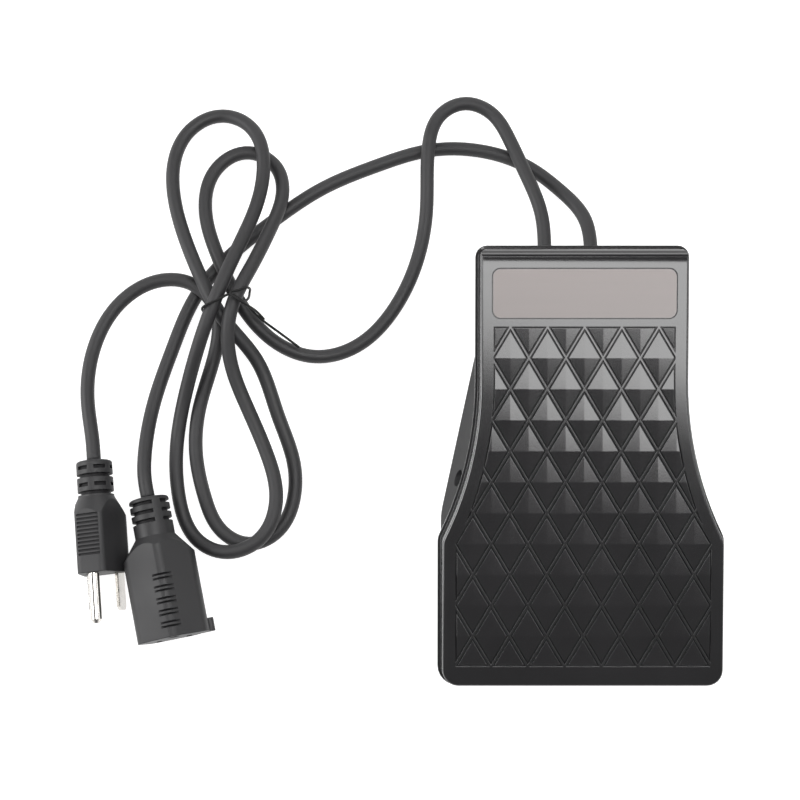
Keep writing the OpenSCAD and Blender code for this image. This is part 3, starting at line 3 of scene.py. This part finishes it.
import bpy
import numpy as np
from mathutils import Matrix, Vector


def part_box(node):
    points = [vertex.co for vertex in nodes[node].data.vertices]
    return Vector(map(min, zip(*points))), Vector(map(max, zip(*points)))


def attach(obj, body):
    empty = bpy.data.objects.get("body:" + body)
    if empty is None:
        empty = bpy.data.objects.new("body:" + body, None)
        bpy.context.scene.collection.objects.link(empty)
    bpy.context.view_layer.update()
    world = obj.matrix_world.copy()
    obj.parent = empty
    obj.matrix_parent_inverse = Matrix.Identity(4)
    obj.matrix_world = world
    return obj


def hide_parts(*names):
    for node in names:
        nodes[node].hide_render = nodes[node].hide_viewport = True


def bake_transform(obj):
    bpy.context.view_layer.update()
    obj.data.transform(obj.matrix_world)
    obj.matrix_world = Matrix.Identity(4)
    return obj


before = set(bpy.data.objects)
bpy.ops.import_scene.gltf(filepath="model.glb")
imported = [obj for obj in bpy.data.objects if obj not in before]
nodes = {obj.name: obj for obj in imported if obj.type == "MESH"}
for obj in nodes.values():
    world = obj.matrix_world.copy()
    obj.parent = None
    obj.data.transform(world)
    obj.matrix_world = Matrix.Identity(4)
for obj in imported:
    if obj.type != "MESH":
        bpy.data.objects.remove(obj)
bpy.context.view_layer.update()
scene = bpy.context.scene
scene.view_settings.view_transform = "Standard"
MM = 0.001


def link(obj):
    scene.collection.objects.link(obj)
    return obj


# Camera: it looks down at 80 degrees from the front, as the photograph does
CAMERA_PLACE = (-0.0746, -0.0967, 0.7386)
CAMERA_AIM = (-0.0746, 0.03354, 0)
SENSOR_WIDTH = 36
LENS = 77.94
data = bpy.data.cameras.new("camera")
data.sensor_width = SENSOR_WIDTH
data.lens = LENS
camera = link(bpy.data.objects.new("camera", data))
camera.location = CAMERA_PLACE
aim = Vector(CAMERA_AIM) - camera.location
camera.rotation_euler = aim.to_track_quat("-Z", "Y").to_euler()
scene.camera = camera

# Leads, in millimetres: the routes are those of the part's source, as x, y and the layer that each point lies on
CORD_R = 3.0
CORD_SIDES = 20
CORD_STEP = 2.0
LAYER_FLOOR = 3.1
LAYER_PITCH = 6.6
LEAD_IN_Y = 59.361
LEAD_OUT_Y = 98.755
STRAIGHT_POINTS = 5
EXIT_Z = 11
FITTING_RUN = 8
PLUG_X = -12
SOCKET_X = 8
PLUG_END = (-204.4, 5.2, 10.7141)
PLUG_TURN = 5.4
SOCKET_END = (-180.8, -10.8, 11.7466)
SOCKET_TURN = 11.8
PLUG_ROUTE = [
    (-13, 113, 1.15), (-20, 133, 1.05), (-27, 149, .95), (-34, 160, .85), (-46, 164.8, .85), (-57, 159, .95),
    (-62, 145, 1.1), (-63, 117, .5), (-68, 92, .15), (-78, 72, 0), (-93, 57, 0), (-112, 52, .1),
    (-130, 59, .5), (-144, 75, 1), (-154, 96, 1), (-160, 119, .3), (-156, 136, 0), (-143, 144, 0),
    (-130, 138, .2), (-126, 124, .75), (-130, 108, 1.55), (-138, 88, 2.6), (-146, 69, 3), (-147, 49, 2.1),
    (-140, 29, 1.2), (-131, 8, .95), (-127, -11, 1.05), (-133, -27, 1.1), (-148, -33, .7), (-162, -26, .1),
    (-169, -9, 0), (-170, 17, .1), (-165, 40, 1.1), (-157, 62, 2.85), (-149, 83, 3.05), (-141, 104, 2.2),
    (-135, 126, 1.25), (-135, 143, 1.1), (-141, 155, .55), (-154, 161, 0), (-167, 155, 0), (-174, 141, .1),
    (-174, 125, .35), (-169, 106, 1.05), (-160, 84, 1.95), (-150, 66, 1.9), (-136, 49, 1), (-127, 26, .3),
    (-120, 5, 0), (-120, -10, 0), (-126, -23, 0), (-139, -29, 0), (-151, -23, 0), (-158, -9, 0),
    (-162, 9, 0), (-161, 29, .1), (-154, 54, .6), (-154, 71, .9), (-165, 83, .95), (-182, 84, .65),
    (-198, 73, .4), (-207, 54, .45), (-208, 30, .9),
]
SOCKET_ROUTE = [
    (6, 112, .85), (-4, 126, .25), (-19, 138, 0), (-40, 145, 0), (-62, 145, 0), (-85, 138, 0),
    (-108, 128, 0), (-130, 113, 0), (-149, 97, 0), (-164, 78, 0), (-173, 56, 0), (-180, 33, .25),
    (-183, 10, .95),
]

# Tie, in millimetres: one loop round the bundle, a twist on top and two tails
TIE_R = 0.55
TIE_SIDES = 10
TIE_STEP = 0.6
TIE_ROUTE = [
    (-118, 55, 8.6), (-127, 61.5, 10.6), (-136, 67.5, 17), (-139.5, 70.4, 23.5), (-142.5, 72.3, 27.4),
    (-146.6, 73.9, 27.7), (-150, 72.3, 27.5), (-154, 70.5, 27.2), (-157.4, 69, 26), (-158.4, 68.5, 22.6),
    (-158.2, 68.6, 15.7), (-158.5, 68.5, 8.3), (-157.4, 69, 5.4), (-154.6, 70.3, 3.9), (-149.6, 72.6, 4),
    (-144.6, 74.9, 4.6), (-141.6, 76.3, 5.5), (-140, 77, 8.9), (-139, 77.5, 16), (-138.5, 77.7, 22.6),
    (-139.4, 77.3, 25.5), (-142.4, 75.9, 27.4), (-146, 74.4, 28.7), (-143, 71.6, 29), (-139, 69.5, 26.4),
    (-136, 68.6, 20), (-133, 66.5, 13),
]


def smooth_path(points, step):
    """Points at even steps along the natural cubic spline through the given ones, all in millimetres."""
    p = np.array(points, float)
    t = np.concatenate([[0], np.cumsum(np.linalg.norm(np.diff(p, axis=0), axis=1))])
    n, h = len(p), np.diff(t)
    a, b = np.eye(n), np.zeros((n, 3))
    for i in range(1, n - 1):
        a[i, i - 1:i + 2] = h[i - 1], 2 * (h[i - 1] + h[i]), h[i]
        b[i] = 6 * ((p[i + 1] - p[i]) / h[i] - (p[i] - p[i - 1]) / h[i - 1])
    m = np.linalg.solve(a, b)
    s = np.linspace(0, t[-1], int(t[-1] / step) + 1)
    k = np.clip(np.searchsorted(t, s, side="right") - 1, 0, n - 2)
    u, v, w = (s - t[k])[:, None], (t[k + 1] - s)[:, None], h[k][:, None]
    bend = (m[k] * v ** 3 + m[k + 1] * u ** 3) / (6 * w)
    return bend + (p[k] / w - m[k] * w / 6) * v + (p[k + 1] / w - m[k + 1] * w / 6) * u


def tube_object(name, path, radius, sides):
    """Mesh tube with closed ends along a path in millimetres; its rings turn no more than the path does."""
    p = np.array(path, float)
    t = np.gradient(p, axis=0)
    t /= np.linalg.norm(t, axis=1)[:, None]
    side = np.cross(t[0], (0, 0, 1) if abs(t[0][2]) < 0.9 else (1, 0, 0))
    frames = []
    for along in t:
        side = side - along * side.dot(along)
        side = side / np.linalg.norm(side)
        frames.append((side, np.cross(side, along)))
    s, u = (np.array(axis) for axis in zip(*frames))
    a = np.linspace(0, 2 * math.pi, sides, endpoint=False)
    ring = np.cos(a)[None, :, None] * s[:, None] + np.sin(a)[None, :, None] * u[:, None]
    points = p[:, None] + radius * ring
    n = len(p)
    faces = [
        (i * sides + k, i * sides + (k + 1) % sides, (i + 1) * sides + (k + 1) % sides, (i + 1) * sides + k)
        for i in range(n - 1) for k in range(sides)
    ]
    faces += [tuple(range(sides - 1, -1, -1)), tuple((n - 1) * sides + k for k in range(sides))]
    mesh = bpy.data.meshes.new(name)
    mesh.from_pydata((points.reshape(-1, 3) * MM).tolist(), [], faces)
    mesh.polygons.foreach_set("use_smooth", [True] * len(mesh.polygons))
    mesh.update()
    return link(bpy.data.objects.new(name, mesh))


def lead_path(x, route, end, turn):
    """Path of a lead from inside the tray, straight out of its sleeve, over the floor and into its fitting."""
    straight = [(x, y, EXIT_Z) for y in np.linspace(LEAD_IN_Y, LEAD_OUT_Y, STRAIGHT_POINTS)]
    laid = [(px, py, LAYER_FLOOR + LAYER_PITCH * layer) for px, py, layer in route]
    a = math.radians(turn)
    before = (end[0] - FITTING_RUN * math.sin(a), end[1] + FITTING_RUN * math.cos(a), end[2])
    path = smooth_path([*straight, *laid, before, end], CORD_STEP)
    path[:, 2] = np.maximum(path[:, 2], CORD_R)
    return path


plug_path = lead_path(PLUG_X, PLUG_ROUTE, PLUG_END, PLUG_TURN)
socket_path = lead_path(SOCKET_X, SOCKET_ROUTE, SOCKET_END, SOCKET_TURN)
plug_lead = tube_object("plug_lead", plug_path, CORD_R, CORD_SIDES)
socket_lead = tube_object("socket_lead", socket_path, CORD_R, CORD_SIDES)
tie = tube_object("wire_tie", smooth_path(TIE_ROUTE, TIE_STEP), TIE_R, TIE_SIDES)
for piece, node in ((plug_lead, "plug_cord"), (socket_lead, "socket_cord"), (tie, "cord_tie")):
    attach(piece, "base")
    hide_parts(node)

# Return springs: the same coils as the solids, in round wire
SPRING_WIRE_R = 0.8
SPRING_SIDES = 10
TURNS = 7
POINTS_PER_TURN = 28
END_PITCH = 2.1 * SPRING_WIRE_R
springs = []
for side in ("left", "right"):
    low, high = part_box("return_spring_" + side)
    centre = (low + high) / 2 / MM
    mean_r = (high.x - low.x) / 2 / MM - SPRING_WIRE_R
    bottom, top = low.z / MM + SPRING_WIRE_R, high.z / MM - SPRING_WIRE_R
    u = np.linspace(0, TURNS, TURNS * POINTS_PER_TURN + 1)
    ends = np.minimum(u, 1) + np.maximum(u - TURNS + 1, 0)
    rise = ends * END_PITCH + (u - ends) * (top - bottom - 2 * END_PITCH) / (TURNS - 2)
    around = 2 * math.pi * u
    coil = np.stack(
        [centre.x + mean_r * np.cos(around), centre.y + mean_r * np.sin(around), bottom + rise], axis=1)
    spring = tube_object("spring_" + side, coil, SPRING_WIRE_R, SPRING_SIDES)
    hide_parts("return_spring_" + side)
    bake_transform(spring)
    springs.append(spring)


# Materials
PLATE_TILT = math.radians(13)
PLATE_UP = (0, -math.sin(PLATE_TILT), math.cos(PLATE_TILT))
PLATE_REAR = (0, math.cos(PLATE_TILT), math.sin(PLATE_TILT))
NEAR_PLATE = (0.98, 0.99)  # cosines of the angle to the plate's plane between which the crowning sets in
REAR_ROLL = (0.0862, 0.0945)  # metres along the plate, where the rear edge starts to roll over and where it ends
REAR_LEAN = 0.66
NOISE_SPAN = (0.3, 0.7)
SLOW_DETAIL, FINE_DETAIL = 4, 3
LEAST_ROUGH = 0.02
GRAIN_DEPTH = 0.00005
NODE_SAMPLES = 12
PAINTED_SHADE_SPAN = (0.45, 0.85)  # occlusion at which the painted shade of a crevice is full, and at which it is gone
# Painted shade: the colour that crevices are darkened towards, as a share of the material's own colour
PAINTED_SHADE_TONE = 0.8


def feed(tree, value, socket):
    """Links a socket to another, or gives it a fixed value."""
    if isinstance(value, bpy.types.NodeSocket):
        tree.links.new(value, socket)
    else:
        socket.default_value = value


def math_node(tree, operation, first, second):
    node = tree.nodes.new("ShaderNodeMath")
    node.operation = operation
    feed(tree, first, node.inputs[0])
    feed(tree, second, node.inputs[1])
    return node.outputs[0]


def vector_node(tree, operation, values, scale=None):
    node = tree.nodes.new("ShaderNodeVectorMath")
    node.operation = operation
    for k, value in enumerate(values):
        feed(tree, value, node.inputs[k])
    if scale is not None:
        feed(tree, scale, node.inputs["Scale"])
    return node.outputs["Value" if operation == "DOT_PRODUCT" else "Vector"]


def map_range(tree, value, span, result=(0, 1), smooth=False):
    node = tree.nodes.new("ShaderNodeMapRange")
    if smooth:
        node.interpolation_type = "SMOOTHSTEP"
    for socket, number in zip(("From Min", "From Max", "To Min", "To Max"), (*span, *result)):
        node.inputs[socket].default_value = number
    tree.links.new(value, node.inputs["Value"])
    return node.outputs["Result"]


def turned(tree, normal, source, target):
    node = tree.nodes.new("ShaderNodeVectorTransform")
    node.vector_type = "NORMAL"
    node.convert_from, node.convert_to = source, target
    tree.links.new(normal, node.inputs["Vector"])
    return node.outputs["Vector"]


def crowned(tree, normal, axis, rear):
    """The normal of a face that lies within a few degrees of the axis, brought nearer to it, and rolled over along
    the rear edge."""
    local = turned(tree, normal, "WORLD", "OBJECT")
    share = map_range(tree, vector_node(tree, "DOT_PRODUCT", (local, axis)), NEAR_PLATE)
    place = tree.nodes.new("ShaderNodeTexCoord").outputs["Object"]
    along = vector_node(tree, "DOT_PRODUCT", (place, rear))
    roll = map_range(tree, along, REAR_ROLL, (0, REAR_LEAN), smooth=True)
    pull = vector_node(tree, "SCALE", (axis,), share)
    lean = vector_node(tree, "SCALE", (rear,), math_node(tree, "MULTIPLY", roll, share))
    total = vector_node(tree, "ADD", (vector_node(tree, "ADD", (local, pull)), lean))
    return turned(tree, vector_node(tree, "NORMALIZE", (total,)), "OBJECT", "WORLD")


def surface(name, color, rough, metallic=0.0, grain=1200.0, mottle=45.0, spread=0.12, rough_spread=0.06,
            bump=0.15, stretch=(1, 1, 1), painted_shade_reach=0.0, painted_shade_share=0.1, edge=0.0, crown=None, gloss=0.5):
    """Shader with a fine grain in relief, slow changes of tone and gloss, painted shade that darkens the colour and
    specular in crevices, softened edges, and facets that are crowned towards one direction."""
    mat = bpy.data.materials.new(name)
    mat.use_nodes = True
    tree = mat.node_tree
    make, join = tree.nodes.new, tree.links.new
    shader = tree.nodes["Principled BSDF"]
    shader.inputs["Metallic"].default_value = metallic
    place, scale = make("ShaderNodeTexCoord"), make("ShaderNodeMapping")
    scale.inputs["Scale"].default_value = stretch
    join(place.outputs["Object"], scale.inputs["Vector"])
    slow, fine = make("ShaderNodeTexNoise"), make("ShaderNodeTexNoise")
    for noise, size, detail in ((slow, mottle, SLOW_DETAIL), (fine, grain, FINE_DETAIL)):
        noise.inputs["Scale"].default_value = size
        noise.inputs["Detail"].default_value = detail
        join(scale.outputs["Vector"], noise.inputs["Vector"])
    tone = make("ShaderNodeValToRGB")
    for stop, position, share in zip(tone.color_ramp.elements, NOISE_SPAN, (1 - spread, 1 + spread)):
        stop.color = (*[min(1, c * share) for c in color], 1)
        stop.position = position
    join(slow.outputs["Fac"], tone.inputs["Fac"])
    sheen = (max(LEAST_ROUGH, rough - rough_spread), min(1, rough + rough_spread))
    join(map_range(tree, slow.outputs["Fac"], NOISE_SPAN, sheen), shader.inputs["Roughness"])
    relief = make("ShaderNodeBump")
    relief.inputs["Strength"].default_value = bump
    relief.inputs["Distance"].default_value = GRAIN_DEPTH
    join(fine.outputs["Fac"], relief.inputs["Height"])
    join(relief.outputs["Normal"], shader.inputs["Normal"])
    if edge:
        soft = make("ShaderNodeBevel")
        soft.samples = NODE_SAMPLES
        soft.inputs["Radius"].default_value = edge
        normal = soft.outputs["Normal"]
        join(crowned(tree, normal, *crown) if crown else normal, relief.inputs["Normal"])
    # Painted shade: occlusion over a short reach darkens the base colour and lowers the specular level in crevices
    if painted_shade_reach:
        shade_occlusion = make("ShaderNodeAmbientOcclusion")
        shade_occlusion.samples = NODE_SAMPLES
        shade_occlusion.only_local = True
        shade_occlusion.inputs["Distance"].default_value = painted_shade_reach
        unshaded_share = map_range(tree, shade_occlusion.outputs["AO"], PAINTED_SHADE_SPAN, (painted_shade_share, 1))
        painted_shade_mix = make("ShaderNodeMix")
        painted_shade_mix.data_type = "RGBA"
        factor, painted_shade_color, light = (painted_shade_mix.inputs[k] for k in (0, 6, 7))
        painted_shade_color.default_value = (*[c * PAINTED_SHADE_TONE for c in color], 1)
        join(unshaded_share, factor)
        join(tone.outputs["Color"], light)
        join(painted_shade_mix.outputs[2], shader.inputs["Base Color"])
        join(math_node(tree, "MULTIPLY", unshaded_share, gloss), shader.inputs["Specular IOR Level"])
    else:
        join(tone.outputs["Color"], shader.inputs["Base Color"])
        shader.inputs["Specular IOR Level"].default_value = gloss
    return mat


# The plate, tray and plug finishes carry painted shade in their crevices
plate_black = surface(
    "plate_black", (0.0135, 0.0131, 0.0141), 0.14, rough_spread=0.012, bump=0.1, painted_shade_reach=0.0009, painted_shade_share=0.25,
    edge=0.00035, crown=(PLATE_UP, PLATE_REAR), gloss=1.0)
tray_black = surface(
    "tray_black", (0.0245, 0.0245, 0.0255), 0.6, grain=700, bump=0.3, painted_shade_reach=0.004, painted_shade_share=0.1, edge=0.0005, gloss=0.3)
label_satin = surface(
    "label_satin", (0.206, 0.176, 0.168), 0.36, metallic=0.1, grain=500, stretch=(0.06, 1, 1), bump=0.08, gloss=1.0)
rubber = surface("foot_rubber", (0.016, 0.015, 0.015), 0.75, grain=900, bump=0.35)
zinc = surface("zinc_steel", (0.50, 0.51, 0.53), 0.34, metallic=1.0, mottle=400)
steel = surface("bright_steel", (0.62, 0.62, 0.63), 0.22, metallic=1.0, mottle=300, bump=0.05)
gear = surface("gear_plastic", (0.62, 0.60, 0.54), 0.45)
pot_shell = surface("pot_shell", (0.20, 0.21, 0.23), 0.38, metallic=0.8)
board_green = surface("board_green", (0.02, 0.10, 0.05), 0.35, mottle=160, spread=0.35)
resin = surface("black_resin", (0.015, 0.015, 0.016), 0.6, grain=1600, bump=0.4)
sink = surface("sink_aluminium", (0.42, 0.43, 0.45), 0.4, metallic=1.0, stretch=(1, 1, 0.1))
red = surface("capacitor_red", (0.32, 0.03, 0.02), 0.35)
copper = surface("copper_wire", (0.45, 0.16, 0.06), 0.3, metallic=0.9, grain=900, bump=0.6)
glass = surface("fuse_glass", (0.72, 0.75, 0.75), 0.15)
brass = surface("brass", (0.60, 0.44, 0.18), 0.3, metallic=1.0, mottle=300)
block = surface("block_green", (0.02, 0.15, 0.07), 0.45)
cord_black = surface("cord_rubber", (0.0245, 0.0240, 0.0255), 0.55, grain=1500, bump=0.2, gloss=0.55)
plug_black = surface(
    "plug_rubber", (0.0168, 0.0164, 0.0178), 0.52, grain=1300, bump=0.25, painted_shade_reach=0.002, painted_shade_share=0.15, edge=0.0005,
    gloss=0.6)
tie_black = surface("tie_plastic", (0.008, 0.008, 0.008), 0.5, gloss=0.3)
nickel = surface("nickel", (0.66, 0.64, 0.61), 0.15, metallic=1.0, mottle=260, bump=0.05)

FINISHES = {
    plate_black: "pedal_plate",
    tray_black: "base_tray tray_posts cord_clamp",
    label_satin: "label_plate",
    rubber: """foot_front_left foot_front_right foot_rear_left foot_rear_right
        rest_stop_left rest_stop_right press_stop_left press_stop_right""",
    zinc: """foot_screws sector_screws bracket_screws board_screws clamp_screws
        hinge_clips pot_bracket pot_nut""",
    steel: "hinge_pin pot_shaft",
    gear: "drive_sector pinion",
    pot_shell: "pot_body",
    board_green: "circuit_board",
    resin: "triac",
    sink: "heat_sink",
    red: "capacitor",
    copper: "choke",
    glass: "fuse",
    brass: "fuse_clips socket_contacts",
    block: "terminal_block",
    plug_black: "plug_sleeve socket_sleeve plug_body socket_body",
    nickel: "plug_ground_pin plug_blade_left plug_blade_right",
}


def paint(obj, mat):
    obj.data.materials.clear()
    obj.data.materials.append(mat)


for mat, names in FINISHES.items():
    for name in names.split():
        paint(nodes[name], mat)
paint(plug_lead, cord_black)
paint(socket_lead, cord_black)
paint(tie, tie_black)
for spring in springs:
    paint(spring, steel)

# Studio: white floor and surroundings for the camera, plain soft light on the object
AMBIENT = 0.16
BACKDROP_TOP = (0.10, 0.35)  # heights of a ray's direction between which the white backdrop ends for glossy rays
FLOOR_HALF = 3.0
FLOOR_Z = -0.0003
FLOOR_GREY = (0.5, 0.5, 0.5, 1)
FLOOR_GLOW = 0.9
WHITE = (1, 1, 1, 1)


def seen_rays(tree, kinds):
    """1 for the rays of these kinds, which show the background."""
    rays = tree.nodes.new("ShaderNodeLightPath")
    seen = rays.outputs[kinds[0]]
    for kind in kinds[1:]:
        seen = math_node(tree, "MAXIMUM", seen, rays.outputs[kind])
    return seen


world = bpy.data.worlds.new("studio")
scene.world = world
world.use_nodes = True
tree = world.node_tree
direction, height = tree.nodes.new("ShaderNodeTexCoord"), tree.nodes.new("ShaderNodeSeparateXYZ")
tree.links.new(direction.outputs["Generated"], height.inputs["Vector"])
low_share = map_range(tree, height.outputs["Z"], BACKDROP_TOP, (1, 0))
in_gloss = math_node(tree, "MULTIPLY", low_share, seen_rays(tree, ("Is Glossy Ray",)))
shown = math_node(tree, "MAXIMUM", seen_rays(tree, ("Is Camera Ray", "Is Transmission Ray")), in_gloss)
background = tree.nodes["Background"]
background.inputs["Color"].default_value = WHITE
tree.links.new(map_range(tree, shown, (0, 1), (AMBIENT, 1)), background.inputs["Strength"])

# The floor can be seen through from below
mesh = bpy.data.meshes.new("floor")
corners = [(-1, -1), (1, -1), (1, 1), (-1, 1)]
mesh.from_pydata([(x * FLOOR_HALF, y * FLOOR_HALF, FLOOR_Z) for x, y in corners], [], [(0, 1, 2, 3)])
floor = link(bpy.data.objects.new("floor", mesh))
floor_white = bpy.data.materials.new("floor_white")
floor_white.use_nodes = True
tree = floor_white.node_tree
tree.nodes.clear()
out = tree.nodes.new("ShaderNodeOutputMaterial")
matte = tree.nodes.new("ShaderNodeBsdfDiffuse")
matte.inputs["Color"].default_value = FLOOR_GREY
glow = tree.nodes.new("ShaderNodeEmission")
shown = seen_rays(tree, ("Is Camera Ray", "Is Transmission Ray", "Is Glossy Ray"))
tree.links.new(math_node(tree, "MULTIPLY", shown, FLOOR_GLOW), glow.inputs["Strength"])
both = tree.nodes.new("ShaderNodeAddShader")
tree.links.new(matte.outputs[0], both.inputs[0])
tree.links.new(glow.outputs[0], both.inputs[1])
clear = tree.nodes.new("ShaderNodeBsdfTransparent")
facing = tree.nodes.new("ShaderNodeNewGeometry")
choose = tree.nodes.new("ShaderNodeMixShader")
tree.links.new(facing.outputs["Backfacing"], choose.inputs[0])
tree.links.new(both.outputs[0], choose.inputs[1])
tree.links.new(clear.outputs[0], choose.inputs[2])
tree.links.new(choose.outputs[0], out.inputs["Surface"])
paint(floor, floor_white)

# Place in metres, turn in degrees from facing straight down, width, depth and radiance
LIGHTS = {
    "key": ((0.139, 0.032, 1.0), (0, 0, -12), 0.85, 0.515, 4.5),
    "side": ((-0.95, 0.08, 0.50), (0, -62, 0), 0.45, 0.8, 5.8),
    "right": ((0.95, 0.10, 0.60), (0, 58, 0), 0.35, 0.8, 2.3),
    "rear": ((0, 1.2, 0.8), (-58, 0, 0), 1.2, 0.6, 2.2),
}
for name, (place, turn, width, depth, radiance) in LIGHTS.items():
    light = bpy.data.lights.new(name, "AREA")
    light.shape = "RECTANGLE"
    light.size = width
    light.size_y = depth
    light.energy = radiance * math.pi * width * depth
    lamp = link(bpy.data.objects.new(name, light))
    lamp.location = place
    lamp.rotation_euler = [math.radians(a) for a in turn]
